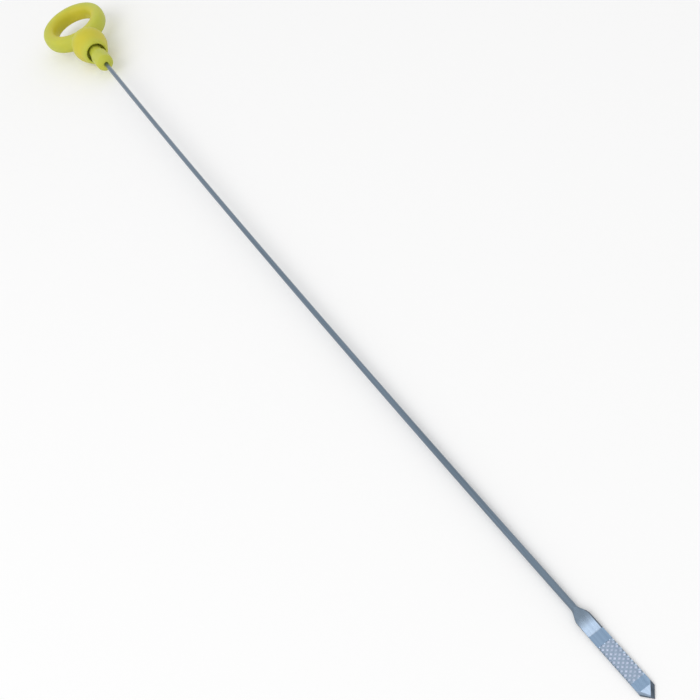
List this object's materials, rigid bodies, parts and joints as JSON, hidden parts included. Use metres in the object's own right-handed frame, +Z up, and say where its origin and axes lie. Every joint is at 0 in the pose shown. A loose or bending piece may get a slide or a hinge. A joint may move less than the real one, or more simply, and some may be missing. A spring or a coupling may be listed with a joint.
{
  "type": "engine oil dipstick",
  "caption": "Slim steel wire dipstick with a flat knurled blade and point, and a moulded ring handle with a cap and plug that close the tube.",
  "frame": {"origin": "centre of the box's bottom face, on the surface that the part lies on", "axes": "+X along the dipstick towards the blade's point, +Z up, +Y across the finger ring"},
  "size_m": [0.558, 0.042, 0.022],
  "materials": {
    "handle_plastic": "moulded yellow plastic with a soft gloss",
    "rod_steel": "bright drawn wire, pressed and knurled at the blade"
  },
  "bodies": {
    "root": {"handle": "handle_plastic", "rod": "rod_steel"}
  },
  "joints": []
}
